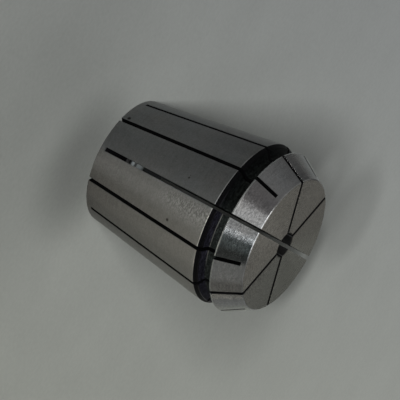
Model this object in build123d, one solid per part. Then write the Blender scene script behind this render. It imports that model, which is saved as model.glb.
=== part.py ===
from build123d import *
import math
import os

# Spring collet of the 8 degree kind, 41 mm across and 46 mm long, for a 6 mm
# shank. It is turned, sawn and ground from one piece of spring steel.
#
# Frame: origin at the centre of the small rear face, +Z along the bore axis
# towards the front face. Millimetres and degrees.

# ---- driving dimensions -------------------------------------------------
length = 46.0            # rear face to front face
big_d = 41.0             # largest diameter, at the front end of the rear taper
taper_half_angle = 8.0   # rear taper, half angle
taper_front_z = 34.6     # where the rear taper ends
rear_edge_r = 0.35       # rounding of the small end
taper_edge_break = 0.12  # narrow ground break on the big edge of the taper

shoulder_len = 1.0       # bevel between the taper and the groove, along the axis
shoulder_angle = 30.0    # bevel, half angle
groove_floor_d = 35.9    # extraction groove, floor diameter
groove_floor_z = 36.25   # where the groove's rear wall meets its floor
groove_front_z = 39.2    # the groove's front wall, square to the axis
groove_rear_r = 0.8      # tool radius between rear wall and floor
groove_front_r = 0.3     # tool radius between floor and front wall

collar_d = 40.8          # narrow cylindrical land behind the front cone
collar_edge_break = 0.10
cone_half_angle = 30.0   # front cone, half angle
face_d = 33.4            # front face, where the cone would meet it
face_edge_break = 0.2

bore_d = 6.0             # clamping bore
bore_edge_break = 0.10
clamp_len = 26.0         # length of the clamping bore from the front face
relief_d = 20.0          # wider bore behind it
relief_shoulder = 59.0   # half angle of the cone between the two bores
relief_edge = 0.5        # chamfer at the relief's mouth

slot_n = 6               # slots from each end, alternating
slot_w = 1.0             # saw thickness
saw_r = 25.0             # saw radius
slot_bottom_r = 2.0      # how near the axis the saw reaches
front_slot_angle = 30.0  # first slot from the front face, about +Z from +X
rear_slot_angle = 0.0    # first slot from the rear face
front_slot_end_z = 1.5   # where the front slots stop on the taper
rear_slot_end_z = 44.85  # where the rear slots stop on the front cone

# ---- derived sizes ------------------------------------------------------
t8 = math.tan(math.radians(taper_half_angle))
t30 = math.tan(math.radians(cone_half_angle))
ts = math.tan(math.radians(shoulder_angle))
tr = math.tan(math.radians(relief_shoulder))

big_r = big_d / 2
bore_r = bore_d / 2
relief_r = relief_d / 2
floor_r = groove_floor_d / 2
collar_r = collar_d / 2
face_r = face_d / 2


def taper_r(z):
    return big_r - (taper_front_z - z) * t8


def cone_r(z):
    return face_r + (length - z) * t30


rear_r = taper_r(0.0)
shoulder_z = taper_front_z + shoulder_len
shoulder_r = big_r - shoulder_len * ts
collar_front_z = length - (collar_r - face_r) / t30
relief_end_z = length - clamp_len
relief_full_z = relief_end_z - (relief_r - bore_r) / tr

# ---- turned blank: half section in the XZ plane, spun about Z ------------
outline = [
    (bore_r, relief_end_z),
    (relief_r, relief_full_z),
    (relief_r, relief_edge),
    (relief_r + relief_edge, 0.0),
    (rear_r, 0.0),
    (taper_r(taper_front_z - taper_edge_break), taper_front_z - taper_edge_break),
    (big_r - taper_edge_break * ts, taper_front_z + taper_edge_break),
    (shoulder_r, shoulder_z),
    (floor_r, groove_floor_z),
    (floor_r, groove_front_z),
    (collar_r - collar_edge_break, groove_front_z),
    (collar_r, groove_front_z + collar_edge_break),
    (collar_r, collar_front_z),
    (cone_r(length - face_edge_break), length - face_edge_break),
    (face_r - face_edge_break, length),
    (bore_r + bore_edge_break, length),
    (bore_r, length - bore_edge_break),
]
section = make_face(Plane.XZ * Polyline(*outline, close=True))


def corner(r, z):
    return section.vertices().sort_by_distance(Vector(r, 0, z))[0]


section = fillet(corner(floor_r, groove_floor_z), groove_rear_r)
section = fillet(corner(floor_r, groove_front_z), groove_front_r)
section = fillet(corner(rear_r, 0.0), rear_edge_r)
blank = revolve(section, Axis.Z, 360)

# ---- saw cuts -----------------------------------------------------------
# A disc saw goes in square to the surface and runs along the axis, so a slot
# ends in an arc of the saw's radius: longest outside, shortest at the bore.
saw_axis_r = slot_bottom_r + saw_r


def arc_reach(r):
    return math.sqrt(saw_r ** 2 - (saw_axis_r - r) ** 2)


front_saw_z = front_slot_end_z + arc_reach(taper_r(front_slot_end_z))
rear_saw_z = rear_slot_end_z - arc_reach(cone_r(rear_slot_end_z))


def saw_cut(z_stop, z_out):
    low, high = sorted((z_stop, z_out))
    disc = Plane.XZ * Location((saw_axis_r, z_stop, 0)) * Circle(saw_r)
    run = Plane.XZ * Location((saw_axis_r, (low + high) / 2, 0)) * Rectangle(2 * saw_r, high - low)
    return extrude((disc + run).face(), slot_w / 2, both=True)


front_cut = saw_cut(front_saw_z, length + 30)
rear_cut = saw_cut(rear_saw_z, -30)

pitch = 360 / slot_n
cuts = [Rot(0, 0, front_slot_angle + pitch * i) * front_cut for i in range(slot_n)]
cuts += [Rot(0, 0, rear_slot_angle + pitch * i) * rear_cut for i in range(slot_n)]

collet = blank
for cut in cuts:
    collet = collet - cut
collet = collet.solids().sort_by(lambda s: s.volume)[-1]
collet.label = "collet"

print("rear diameter", round(2 * rear_r, 3), "land", round(collar_front_z - groove_front_z, 3))
print("clamping bore", round(length - relief_end_z, 3), "relief full from", round(relief_full_z, 3))
print("front slots reach z", round(front_saw_z - arc_reach(bore_r), 2), "at the bore wall,",
      round(front_saw_z - arc_reach(relief_r), 2), "at the relief wall")
print("rear slots reach z", round(rear_saw_z + arc_reach(bore_r), 2), "at the bore wall,",
      round(rear_saw_z + arc_reach(relief_r), 2), "at the relief wall")
print("volume", round(collet.volume, 1), "valid", collet.is_valid)

os.makedirs("parts", exist_ok=True)
export_step(collet, "parts/collet.step")
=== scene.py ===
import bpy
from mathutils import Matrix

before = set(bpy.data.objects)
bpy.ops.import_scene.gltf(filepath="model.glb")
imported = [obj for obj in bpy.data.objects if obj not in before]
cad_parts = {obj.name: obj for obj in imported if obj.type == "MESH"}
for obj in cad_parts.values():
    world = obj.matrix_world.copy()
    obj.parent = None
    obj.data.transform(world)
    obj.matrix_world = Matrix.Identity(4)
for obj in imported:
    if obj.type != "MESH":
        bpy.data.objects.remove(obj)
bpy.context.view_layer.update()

import math

import bpy
from mathutils import Matrix, Vector

scene = bpy.context.scene
scene.view_settings.view_transform = "Standard"
scene.view_settings.look = "None"
scene.view_settings.exposure = 0.0
scene.view_settings.gamma = 1.0

# ---------------------------------------------------------------- camera
# The collet stands on its rear end here. In the picture it lies on its side,
# so the camera is rolled until its outline stands as it does there.
cam_data = bpy.data.cameras.new("camera")
cam = bpy.data.objects.new("camera", cam_data)
scene.collection.objects.link(cam)
cam_data.sensor_fit = "HORIZONTAL"
cam_data.sensor_width = 36.0
cam_data.lens = 270.0
cam_data.clip_start, cam_data.clip_end = 0.05, 30.0
turn = Matrix((
    (-0.4718295656678292, -0.8816670390796197, 0.006331916162080966),
    (0.3570418335362538, -0.19762967154262615, -0.9129422993985018),
    (0.8061625084725643, -0.4284924096486774, 0.40803953828850004),
))
cam.matrix_world = (
    Matrix.Rotation(math.radians(0.18), 4, "Z")
    @ Matrix.Translation((0.004467815990, -0.641962225524, 0.308625746367))
    @ turn.to_4x4()
)
scene.camera = cam


# ---------------------------------------------------------------- node tools
class Nodes:
    """Small wrapper that keeps shader graphs readable."""

    def __init__(self, mat):
        self.tree = mat.node_tree
        self.tree.nodes.clear()

    def new(self, kind, **props):
        n = self.tree.nodes.new(kind)
        for k, v in props.items():
            setattr(n, k, v)
        return n

    def link(self, a, b):
        self.tree.links.new(a, b)

    def put(self, socket, value):
        if isinstance(value, bpy.types.NodeSocket):
            self.link(value, socket)
        else:
            socket.default_value = value

    def math(self, op, a, b=None, c=None, clamp=False):
        n = self.new("ShaderNodeMath", operation=op, use_clamp=clamp)
        for s, v in zip(n.inputs, (a, b, c)):
            if v is not None:
                self.put(s, v)
        return n.outputs[0]

    def step(self, value, lo, hi):
        """0 at lo, 1 at hi, smooth between; lo may be above hi."""
        n = self.new("ShaderNodeMapRange", interpolation_type="SMOOTHSTEP", clamp=True)
        self.put(n.inputs["Value"], value)
        if lo <= hi:
            ends = (lo, hi, 0.0, 1.0)
        else:
            ends = (hi, lo, 1.0, 0.0)
        for name, v in zip(("From Min", "From Max", "To Min", "To Max"), ends):
            n.inputs[name].default_value = v
        return n.outputs["Result"]

    def span(self, value, a, b, c, d):
        n = self.new("ShaderNodeMapRange", clamp=True)
        self.put(n.inputs["Value"], value)
        for name, v in zip(("From Min", "From Max", "To Min", "To Max"), (a, b, c, d)):
            n.inputs[name].default_value = v
        return n.outputs["Result"]

    def both(self, *vals):
        out = vals[0]
        for v in vals[1:]:
            out = self.math("MULTIPLY", out, v)
        return out

    def most(self, *vals):
        out = vals[0]
        for v in vals[1:]:
            out = self.math("MAXIMUM", out, v)
        return out

    def vec(self, x, y, z):
        n = self.new("ShaderNodeCombineXYZ")
        for s, v in zip(n.inputs, (x, y, z)):
            self.put(s, v)
        return n.outputs[0]

    def noise(self, vector, scale, detail=2.0, rough=0.5, dist=0.0):
        n = self.new("ShaderNodeTexNoise", noise_dimensions="3D")
        self.put(n.inputs["Vector"], vector)
        n.inputs["Scale"].default_value = scale
        n.inputs["Detail"].default_value = detail
        n.inputs["Roughness"].default_value = rough
        n.inputs["Distortion"].default_value = dist
        return n.outputs["Fac"]

    def mix(self, fac, a, b):
        n = self.new("ShaderNodeMix", data_type="RGBA", clamp_factor=True)
        self.put(n.inputs[0], fac)
        for s, v in ((n.inputs[6], a), (n.inputs[7], b)):
            self.put(s, (*v, 1.0) if isinstance(v, tuple) and len(v) == 3 else v)
        return n.outputs[2]

    def mixf(self, fac, a, b):
        n = self.new("ShaderNodeMix", data_type="FLOAT", clamp_factor=True)
        self.put(n.inputs[0], fac)
        self.put(n.inputs[2], a)
        self.put(n.inputs[3], b)
        return n.outputs[0]


# ---------------------------------------------------------------- the steel
T8, T30 = math.tan(math.radians(8)), math.tan(math.radians(30))


def steel():
    mat = bpy.data.materials.new("ground_steel")
    mat.use_nodes = True
    g = Nodes(mat)
    out = g.new("ShaderNodeOutputMaterial")
    bsdf = g.new("ShaderNodeBsdfPrincipled")
    g.link(bsdf.outputs[0], out.inputs[0])

    place = g.new("ShaderNodeTexCoord").outputs["Object"]
    mm = g.new("ShaderNodeVectorMath", operation="SCALE")
    g.link(place, mm.inputs[0])
    mm.inputs["Scale"].default_value = 1000.0
    mm = mm.outputs[0]
    sep = g.new("ShaderNodeSeparateXYZ")
    g.link(mm, sep.inputs[0])
    x, y, z = sep.outputs
    r = g.math("SQRT", g.math("ADD", g.math("MULTIPLY", x, x), g.math("MULTIPLY", y, y)))
    safe_r = g.math("MAXIMUM", r, 0.001)
    cx, cy = g.math("DIVIDE", x, safe_r), g.math("DIVIDE", y, safe_r)

    # Which faces were ground bright: the taper, the cone and its land, the two
    # ends and the clamping bore. The rest stayed black from hardening.
    taper = g.math("MULTIPLY_ADD", z, T8, 20.5 - 34.6 * T8)
    on_taper = g.both(g.step(g.math("SUBTRACT", taper, r), 0.07, 0.03), g.step(z, 34.72, 34.66))
    cone = g.math("MINIMUM", g.math("MULTIPLY_ADD", z, -T30, 16.7 + 46 * T30), 20.45)
    on_cone = g.both(g.step(g.math("SUBTRACT", cone, r), 0.15, 0.10), g.step(z, 39.17, 39.19))
    on_face = g.step(z, 45.93, 45.97)
    on_rear = g.step(z, 0.06, 0.02)
    wall = g.math("MAXIMUM", g.math("MULTIPLY_ADD", z, -1.97 / 0.65, 19.92 + 35.6 * 1.97 / 0.65), 17.95)
    on_groove = g.both(g.step(g.math("SUBTRACT", wall, r), 0.07, 0.03), g.step(z, 35.62, 35.68), g.step(z, 39.23, 39.21))
    on_groove_floor = g.both(on_groove, g.step(z, 36.1, 36.5))
    on_bore = g.both(g.step(r, 3.3, 3.1), g.step(z, 19.9, 20.1))
    on_relief = g.both(g.step(r, 10.6, 10.5), g.step(z, 20.1, 20.0))
    bright = g.most(on_taper, on_cone, on_face, on_rear, on_bore, on_relief)
    lit_side = g.span(cx, -0.28, 0.06, 0.0, 1.0)
    # Edges that rub in the holder and the nut are worn bright; on the lit side they also carry a painted highlight.
    worn_and_highlit_edges = g.most(
        g.both(g.step(z, 34.44, 34.50), on_taper),
        g.both(g.step(z, 39.70, 39.60), on_cone),
        g.both(g.step(z, 45.76, 45.82), g.step(r, 16.50, 16.56)),
    )
    rubbed = g.noise(g.vec(g.math("MULTIPLY", cx, 4.0), g.math("MULTIPLY", cy, 4.0), g.math("MULTIPLY", z, 0.02)), 1.0, 3.0, 0.6)
    # painted highlight: brightest on the near segment beside the front slot
    painted_edge_highlight = g.both(g.step(cx, 0.56, 0.46), g.step(cx, -0.62, -0.05), g.step(cy, 0.0, -0.5))
    painted_edge_highlight = g.both(painted_edge_highlight, g.mixf(g.step(z, 44.0, 45.0), 1.0, g.step(cx, 0.34, 0.20)))
    worn_and_highlit_edges = g.both(worn_and_highlit_edges, g.most(g.span(rubbed, 0.40, 0.72, 0.0, 0.45), painted_edge_highlight))

    # Grinding lines run round the axis: long in angle, fine along the height
    # (and along the radius on the flat ends).
    across = g.math("MULTIPLY_ADD", r, g.math("ADD", g.most(on_face, on_rear), 0.0), z)
    def lines(k, per_mm, scale=1.0, detail=3.0):
        v = g.vec(g.math("MULTIPLY", cx, k), g.math("MULTIPLY", cy, k), g.math("MULTIPLY", across, per_mm))
        return g.noise(v, scale, detail, 0.6)
    fine = lines(6.0, 9.0)
    mid = lines(3.0, 2.6)
    grain = g.noise(mm, 5.0, 3.0, 0.6)
    pitted = g.noise(mm, 2.4, 3.0, 0.65)
    mottle = g.noise(mm, 0.7, 3.0, 0.55)
    cloud = g.noise(mm, 0.16, 3.0, 0.5)
    cloud2 = g.noise(g.vec(g.math("ADD", x, 31.0), y, z), 0.11, 2.0, 0.5)

    # short grinding strokes on the cone, seen where it is lit full on
    strokes = lines(24.0, 6.0)
    by_slot = g.both(g.span(cx, -0.42, -0.28, 0.25, 1.0), g.span(cx, 0.42, 0.50, 1.0, 0.35))
    tone = g.math("ADD", g.span(fine, 0.3, 0.7, -0.05, 0.05), g.span(mid, 0.3, 0.7, -0.05, 0.05))
    tone = g.math("ADD", tone, g.both(g.span(lines(26.0, 2.8), 0.3, 0.7, -0.36, 0.36), on_cone, by_slot))
    tone = g.math("ADD", tone, g.math("MULTIPLY", g.span(lines(4.0, 3.5), 0.3, 0.7, -0.07, 0.07), on_cone))
    tone = g.math("ADD", tone, g.span(grain, 0.3, 0.7, -0.06, 0.06))
    tone = g.math("ADD", tone, g.span(pitted, 0.3, 0.7, -0.12, 0.12))
    tone = g.math("ADD", tone, g.span(mottle, 0.3, 0.7, -0.05, 0.05))
    tone = g.math("ADD", tone, g.span(cloud, 0.3, 0.7, -0.03, 0.03))
    tone = g.math("ADD", tone, g.math("MULTIPLY", g.span(g.noise(mm, 2.6, 2.0, 0.7), 0.32, 0.68, -0.22, 0.22), g.mixf(on_face, g.both(on_cone, by_slot), g.span(cy, -0.3, 0.1, 1.7, 0.5))))
    # sparkling grain on the front of the taper beside the front slot, partly painted glints where the lit streak falls
    flecks = g.math("ADD", g.math("MULTIPLY", lines(30.0, 3.6, 1.0, 2.0), 0.7), g.math("MULTIPLY", g.noise(mm, 3.2, 2.0, 0.7), 0.3))
    grain_and_painted_glints = g.both(g.span(flecks, 0.43, 0.60, -0.30, 0.52), on_taper,
                     g.step(cx, 0.0, 0.12), g.step(cx, 0.40, 0.16), g.step(z, 14.0, 30.0))
    tone = g.math("ADD", tone, grain_and_painted_glints)
    # painted light and shade: taper, face and cone made lighter or darker by side and height, for how the light falls
    # on them
    painted_taper_shading = g.both(g.span(cx, -0.5, 0.5, -0.13, 0.20), g.math("MULTIPLY_ADD", z, 1 / 17.0, -1.0), on_taper)
    tone = g.math("ADD", tone, painted_taper_shading)
    painted_taper_shading = g.both(g.span(cx, -0.75, -0.65, -0.14, 0.0), g.math("MULTIPLY_ADD", z, 1 / 17.0, -1.235), on_taper)
    tone = g.math("ADD", tone, painted_taper_shading)
    tone = g.math("ADD", tone, g.both(g.step(cx, -0.64, -0.72), g.span(cx, -0.92, -0.84, 0.07, -0.08), on_taper))
    tone = g.math("ADD", tone, g.both(g.step(cx, -0.50, -0.58), g.span(z, 6.0, 18.0, -0.19, 0.0), on_taper))
    tone = g.math("ADD", tone, g.both(g.step(cx, -0.86, -0.91), g.span(z, 22.0, 30.0, 0.0, 0.17), on_taper))
    tone = g.math("ADD", tone, g.both(g.span(cx, -0.75, -0.45, -0.055, 0.0), on_face))
    tone = g.math("ADD", tone, g.both(g.step(cx, 0.0, 0.03), g.step(cx, 0.16, 0.12), g.span(z, 6.0, 20.0, -0.08, 0.0), on_taper))
    tone = g.math("ADD", tone, g.both(g.span(cx, -0.96, -0.88, -0.14, 0.0), on_cone))
    # each jaw's end face catches the light a little differently
    beyond = g.both(g.step(cy, -0.52, -0.48), on_face)
    jaws = g.math("ADD", g.math("MULTIPLY", g.step(cx, -0.02, 0.02), 0.06), g.math("MULTIPLY", g.step(cx, 0.84, 0.88), 0.08))
    tone = g.math("SUBTRACT", tone, g.math("MULTIPLY", beyond, g.math("ADD", jaws, 0.15)))
    tint = g.mix(g.span(cloud2, 0.35, 0.65, 0.0, 1.0), (0.334, 0.332, 0.328), (0.322, 0.331, 0.336))
    warm = g.both(g.step(cx, -0.02, 0.10), on_taper)
    tint = g.mix(warm, tint, (0.330, 0.3235, 0.3145))
    far_jaws = g.span(g.math("ADD", cx, cy), -0.2, 1.2, 0.0, 1.0)
    tint = g.mix(on_face, tint, g.mix(far_jaws, (0.300, 0.284, 0.255), (0.281, 0.285, 0.253)))
    tint = g.mix(on_relief, tint, (0.10, 0.10, 0.10))
    hsv = g.new("ShaderNodeHueSaturation")
    g.put(hsv.inputs["Color"], tint)
    g.put(hsv.inputs["Value"], g.math("ADD", tone, 1.0))
    level = g.mixf(on_taper, 1.0, 0.78)
    # worn edges, painted brighter still on the lit side as a highlight
    level = g.mixf(worn_and_highlit_edges, level, g.mixf(lit_side, 2.5, 1.9))
    level = g.mixf(on_bore, level, 0.28)
    lv = g.new("ShaderNodeVectorMath", operation="SCALE")
    g.link(hsv.outputs[0], lv.inputs[0])
    g.link(level, lv.inputs["Scale"])
    ground = lv.outputs[0]

    # Small dark pits and specks where the metal was nicked.
    def spot(px, py, pz, rx, soft):
        d = g.new("ShaderNodeVectorMath", operation="DISTANCE")
        g.link(mm, d.inputs[0])
        d.inputs[1].default_value = (px, py, pz)
        return g.step(d.outputs["Value"], rx + soft, rx - soft)
    marks = g.most(
        g.math("MULTIPLY", spot(-8.90, -13.16, 1.78, 0.42, 0.20), 0.85),
        g.math("MULTIPLY", spot(7.72, -17.46, 24.58, 0.34, 0.20), 0.80),
        g.math("MULTIPLY", spot(-3.21, -18.89, 25.07, 0.24, 0.15), 0.68),
        g.math("MULTIPLY", spot(-3.75, -18.78, 25.15, 0.16, 0.14), 0.45),
    )
    ground = g.mix(marks, ground, (0.03, 0.025, 0.022))
    black = g.mix(g.span(grain, 0.35, 0.65, 0.0, 1.0), (0.0012, 0.0012, 0.0014), (0.0035, 0.0035, 0.0038))
    turns = g.math("SUBTRACT", g.math("MULTIPLY", z, 2.4), g.math("MULTIPLY", r, 2.4))
    lathe = g.noise(g.vec(g.math("MULTIPLY", cx, 12.0), g.math("MULTIPLY", cy, 12.0), turns), 1.0, 3.0, 0.65)
    # the groove: bare turned wall and floor, with painted shade making it darker on the -X side,
    # and a thin painted highlight line along the fillet radius on the lit side
    dull = g.mix(g.step(cx, -0.03, 0.05), (0.0078, 0.0090, 0.0090), (0.0080, 0.0079, 0.0112))
    dull = g.mix(on_groove_floor, dull, (0.0078, 0.0092, 0.0085))
    turned_groove_painted_shade = g.new("ShaderNodeVectorMath", operation="SCALE")
    g.link(dull, turned_groove_painted_shade.inputs[0])
    g.link(g.both(g.span(lathe, 0.32, 0.68, 0.25, 1.85), g.span(pitted, 0.38, 0.62, 0.35, 1.65), g.mixf(g.span(cx, -0.14, 0.05, 0.0, 1.0), 0.42, 1.25)), turned_groove_painted_shade.inputs["Scale"])
    painted_fillet_highlight = g.both(g.step(z, 36.34, 36.40), g.step(z, 36.56, 36.48), on_groove, g.step(cx, -0.02, 0.06), g.step(cx, 0.75, 0.45))
    painted_fillet_highlight = g.both(painted_fillet_highlight, g.span(lathe, 0.35, 0.6, 0.5, 1.0))
    # painted highlight: a light line along the groove's top edge, on the lit side only
    painted_highlight_lines = g.both(g.step(z, 35.50, 35.56), g.step(z, 35.70, 35.64), g.step(r, 19.75, 19.8), lit_side)
    black = g.mix(on_groove, black, turned_groove_painted_shade.outputs[0])
    black = g.mix(painted_highlight_lines, black, (0.030, 0.029, 0.034))
    black = g.mix(painted_fillet_highlight, black, (0.17, 0.17, 0.16))
    painted_highlight_lines = g.most(painted_highlight_lines, painted_fillet_highlight)
    g.put(bsdf.inputs["Base Color"], g.mix(bright, black, ground))

    g.put(bsdf.inputs["Metallic"], g.most(bright, painted_highlight_lines))
    bsdf.inputs["Specular IOR Level"].default_value = 0.03
    rough_ground = g.mixf(on_taper, g.span(fine, 0.3, 0.7, 0.11, 0.19), g.span(fine, 0.3, 0.7, 0.40, 0.50))
    rough_ground = g.mixf(g.most(on_face, on_rear), rough_ground, g.span(fine, 0.3, 0.7, 0.24, 0.32))
    rough_ground = g.math("ADD", rough_ground, g.span(cloud, 0.3, 0.7, -0.02, 0.02))
    rough_ground = g.mixf(marks, rough_ground, 0.7)
    rough_ground = g.mixf(on_bore, rough_ground, 0.85)
    rough_black = g.span(grain, 0.3, 0.7, 0.38, 0.55)
    rough_black = g.mixf(painted_highlight_lines, rough_black, 0.27)
    g.put(bsdf.inputs["Roughness"], g.mixf(bright, rough_black, rough_ground))
    bsdf.inputs["Anisotropic"].default_value = 0.9
    bsdf.inputs["Anisotropic Rotation"].default_value = 0.25
    tan = g.new("ShaderNodeTangent", direction_type="RADIAL", axis="Z")
    g.link(tan.outputs[0], bsdf.inputs["Tangent"])

    height = g.both(g.math("ADD", fine, mid), g.mixf(on_face, 0.25, 0.12))
    height = g.math("ADD", height, g.math("MULTIPLY", strokes, 0.16))
    height = g.math("ADD", height, g.both(lines(26.0, 4.0), on_cone, by_slot, 0.13))
    height = g.math("ADD", height, g.math("MULTIPLY", pitted, g.mixf(on_cone, g.mixf(on_face, 1.0, 0.10), 0.60)))
    height = g.math("ADD", height, g.math("MULTIPLY", mottle, g.mixf(g.most(on_face, on_cone), 1.2, 0.0)))
    height = g.math("ADD", height, g.math("MULTIPLY", marks, -4.0))
    bump = g.new("ShaderNodeBump")
    bump.inputs["Strength"].default_value = 0.6
    bump.inputs["Distance"].default_value = 0.00004
    g.put(bump.inputs["Height"], height)
    g.link(bump.outputs[0], bsdf.inputs["Normal"])
    return mat


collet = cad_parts["collet"]
collet.data.materials.clear()
collet.data.materials.append(steel())


# ---------------------------------------------------------------- floor
BACKGROUND = (0.27, 0.272, 0.262)


def floor():
    mat = bpy.data.materials.new("floor")
    mat.use_nodes = True
    g = Nodes(mat)
    out = g.new("ShaderNodeOutputMaterial")
    bsdf = g.new("ShaderNodeBsdfPrincipled")
    g.link(bsdf.outputs[0], out.inputs[0])
    place = g.new("ShaderNodeTexCoord").outputs["Object"]
    mm = g.new("ShaderNodeVectorMath", operation="SCALE")
    g.link(place, mm.inputs[0])
    mm.inputs["Scale"].default_value = 1000.0
    sep = g.new("ShaderNodeSeparateXYZ")
    g.link(mm.outputs[0], sep.inputs[0])
    x, y, z = sep.outputs
    tint = g.noise(mm.outputs[0], 0.05, 4.0, 0.6)
    fleck = g.noise(mm.outputs[0], 0.9, 2.0, 0.6)
    # a little paler to the right and to the back, as a long sheet lit from there
    rise = g.math("ADD", g.span(x, -80.0, 80.0, -0.106, 0.106), g.span(y, -100.0, 260.0, -0.11, 0.37))
    # painted shade: the collet keeps light from the floor close round its foot
    def near(px, py, none, full, depth):
        dx, dy = g.math("ADD", x, -px), g.math("ADD", y, -py)
        away = g.math("SQRT", g.math("ADD", g.math("MULTIPLY", dx, dx), g.math("MULTIPLY", dy, dy)))
        return g.math("MULTIPLY", g.step(away, none, full), depth)
    painted_floor_shade = g.math("ADD", near(6.0, -18.0, 25.0, 5.0, 0.36), near(1.0, -46.0, 55.0, 8.0, 0.14))
    painted_floor_shade = g.math("ADD", painted_floor_shade, near(0.0, 117.0, 15.0, 7.0, 0.36))
    # painted shadow: the end of its shadow is wide and soft, with one spot at its side painted lighter
    painted_floor_shade = g.math("ADD", painted_floor_shade, near(-18.0, 146.0, 20.0, 9.0, 0.20))
    painted_floor_shade = g.math("SUBTRACT", painted_floor_shade, near(-21.5, 114.5, 11.0, 2.5, 0.32))
    painted_shadow_tip = g.math("SUBTRACT", near(-1.0, 112.4, 28.5, 20.0, 0.41), near(-1.0, 112.4, 19.5, 15.0, 0.41))
    painted_floor_shade = g.math("ADD", painted_floor_shade, g.both(painted_shadow_tip, g.step(x, 20.0, 7.5), g.step(x, -16.0, -6.0)))
    # painted shade in the shadow behind the collet, seen through the front slot
    painted_floor_shade = g.math("ADD", painted_floor_shade, near(0.0, 66.0, 13.0, 5.0, 0.42))
    painted_floor_shade = g.math("SUBTRACT", 1.0, painted_floor_shade)
    level = g.math("ADD", g.math("ADD", g.span(tint, 0.3, 0.7, 0.990, 1.058), g.span(fleck, 0.3, 0.7, -0.035, 0.035)), rise)
    level = g.math("MULTIPLY", level, painted_floor_shade)
    lv = g.new("ShaderNodeVectorMath", operation="SCALE")
    g.put(lv.inputs[0], g.mix(g.span(x, -70.0, 70.0, 0.0, 1.0), (0.500, 0.522, 0.513), (0.507, 0.527, 0.474)))
    g.link(level, lv.inputs["Scale"])
    g.link(lv.outputs[0], bsdf.inputs["Base Color"])
    bsdf.inputs["Roughness"].default_value = 0.85
    bsdf.inputs["Specular IOR Level"].default_value = 0.2
    # far off, the sheet runs into the plain background with no edge
    glow = g.new("ShaderNodeEmission")
    glow.inputs["Color"].default_value = (*BACKGROUND, 1)
    glow.inputs["Strength"].default_value = 1.0
    # painted light: a glowing disc under the open rear end, in bands, for the light that comes in there
    under = g.math("SQRT", g.math("ADD", g.math("MULTIPLY", x, x), g.math("MULTIPLY", y, y)))
    painted_glow_bands = g.both(g.most(g.step(y, 1.2, 0.6), g.step(y, 2.8, 3.3)), g.most(g.step(y, 5.2, 4.8), g.step(y, 6.0, 6.4)))
    under = g.both(g.step(under, 10.2, 9.8), painted_glow_bands)
    bsdf.inputs["Emission Color"].default_value = (0.90, 1.0, 1.02, 1)
    g.link(g.math("MULTIPLY", under, g.span(y, 4.6, 10.0, 0.135, 0.06)), bsdf.inputs["Emission Strength"])
    blend = g.new("ShaderNodeMixShader")
    far = g.math("SQRT", g.math("ADD", g.math("MULTIPLY", x, x), g.math("MULTIPLY", y, y)))
    g.link(g.step(far, 350.0, 1500.0), blend.inputs[0])
    g.link(bsdf.outputs[0], blend.inputs[1])
    g.link(glow.outputs[0], blend.inputs[2])
    g.link(blend.outputs[0], out.inputs[0])
    me = bpy.data.meshes.new("floor")
    s = 8.0
    me.from_pydata([(-s, -s, 0), (s, -s, 0), (s, s, 0), (-s, s, 0)], [], [(0, 1, 2, 3)])
    me.materials.append(mat)
    ob = bpy.data.objects.new("floor", me)
    scene.collection.objects.link(ob)


floor()


# ---------------------------------------------------------------- light
# Directions are given from the collet: turn is degrees round the axis from
# the camera's side, positive towards +X, and rise is degrees above the floor.
def aim(turn, rise, dist):
    t, e = math.radians(turn), math.radians(rise)
    return Vector((math.sin(t) * math.cos(e), -math.cos(t) * math.cos(e), math.sin(e))) * dist


def area(name, turn, rise, dist, size, radiance, colour=(1, 1, 1), seen_by="both", target=(0, 0, 0.03)):
    data = bpy.data.lights.new(name, "AREA")
    data.shape = "RECTANGLE"
    data.size, data.size_y = size
    data.energy = radiance * math.pi * size[0] * size[1]
    data.color = colour
    ob = bpy.data.objects.new(name, data)
    ob.location = Vector(target) + aim(turn, rise, dist)
    ob.rotation_mode = "QUATERNION"
    ob.rotation_quaternion = (Vector(target) - ob.location).to_track_quat("-Z", "Y")
    ob.visible_camera = False
    ob.visible_glossy = seen_by != "floor"
    ob.visible_diffuse = seen_by != "steel"
    scene.collection.objects.link(ob)
    return ob


# What the floor is lit by.
area("floor_key", 6.5, 21.8, 6.0, (1.1, 0.5), 158.0, seen_by="floor", target=(0, 0, 0))
area("floor_key_left", -7, 21.8, 6.0, (1.1, 0.5), 66.0, seen_by="floor", target=(0, 0, 0))
area("floor_soft", 20, 46, 1.6, (1.2, 1.2), 0.35, seen_by="floor", target=(0, 0, 0))

# What the ground steel mirrors: a ring of light and dark cards round the
# table, which only reflections see.
def card(name, turns, rises, radiance, colour=(1, 1, 1), dist=1.3, steps=12):
    mat = bpy.data.materials.new(name)
    mat.use_nodes = True
    g = Nodes(mat)
    out = g.new("ShaderNodeOutputMaterial")
    em = g.new("ShaderNodeEmission")
    em.inputs["Color"].default_value = (*colour, 1)
    em.inputs["Strength"].default_value = radiance
    g.link(em.outputs[0], out.inputs[0])
    pts, quads = [], []
    for i in range(steps + 1):
        turn = turns[0] + (turns[1] - turns[0]) * i / steps
        pts += [tuple(Vector((0, 0, 0.03)) + aim(turn, rise, dist)) for rise in rises]
    for i in range(steps):
        quads.append((2 * i, 2 * i + 2, 2 * i + 3, 2 * i + 1))
    me = bpy.data.meshes.new(name)
    me.from_pydata(pts, [], quads)
    me.materials.append(mat)
    ob = bpy.data.objects.new(name, me)
    ob.visible_camera = ob.visible_diffuse = ob.visible_shadow = False
    scene.collection.objects.link(ob)


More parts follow.
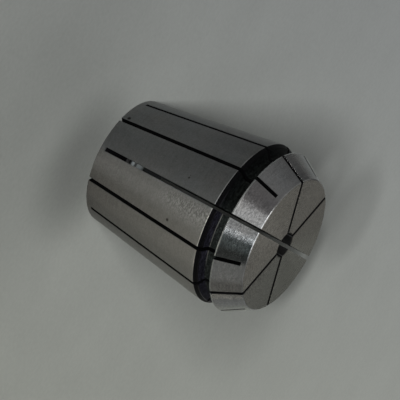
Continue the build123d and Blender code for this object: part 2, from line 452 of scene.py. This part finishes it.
card("key_card", (-21.0, 3), (24, 50), 0.885, (1.0, 0.995, 0.99))
card("key_edge_card", (-25.0, -21.0), (24, 50), 0.76, (1.0, 0.99, 0.985))
card("key_edge_card_2", (-29.0, -25.0), (24, 50), 0.58, (1.0, 0.98, 0.98))
card("key_edge_card_3", (-33.0, -29.0), (24, 50), 0.29, (1.0, 0.96, 0.98))
card("key_right_card", (3, 18.9), (24, 50), 0.50, (1.0, 1.0, 0.99))
card("strip_card", (18.9, 20.6), (22, 52), 3.2, (0.95, 0.98, 1.0))
card("strip_edge_card", (20.6, 25.0), (22, 52), 0.36, (0.91, 0.98, 1.0))
card("gap_card", (43, 61), (6.5, 66), 0.045, (0.90, 1.0, 0.96))
card("mid_gap_card", (32, 43), (6.5, 66), 0.135, (0.86, 1.0, 0.98))
card("near_gap_card", (25.0, 32), (6.5, 66), 0.10, (0.80, 1.0, 1.0))
card("right_card", (61, 95), (6.5, 40), 0.26, (1.0, 1.0, 0.95))
card("far_right_card", (95, 135), (6.5, 40), 0.17, (1.0, 0.98, 0.90))
card("soft_card", (-60, -33), (20, 50), 0.20, (1.0, 0.96, 0.98))
# the light falls off towards the back on the far side
card("left_card_1", (-84, -60), (1, 34), 0.25)
card("left_card_2", (-92, -84), (1, 34), 0.225)
card("left_card_3", (-100, -92), (1, 34), 0.20)
card("left_card_4", (-109, -100), (1, 34), 0.18)
card("left_card_5", (-122, -109), (1, 30), 0.14)
card("back_left_card", (-158, -122), (1, 24), 0.115)
card("low_card", (4, 34), (0.3, 5.5), 9.0, (1.0, 0.98, 0.92))
card("low_right_card", (34, 86), (0.3, 4.0), 6.6, (1.0, 0.94, 0.82))
card("low_far_card", (86, 125), (0.3, 4.0), 2.3, (1.0, 0.94, 0.80))
card("low_left_card", (-100, -5), (0.5, 10), 0.02)
card("top_card", (0, 360), (70, 89.9), 1.2, steps=24)

world = bpy.data.worlds.new("world")
scene.world = world
world.use_nodes = True
world.node_tree.nodes["Background"].inputs[0].default_value = (*BACKGROUND, 1)
world.node_tree.nodes["Background"].inputs[1].default_value = 1.0
world.cycles_visibility.diffuse = False
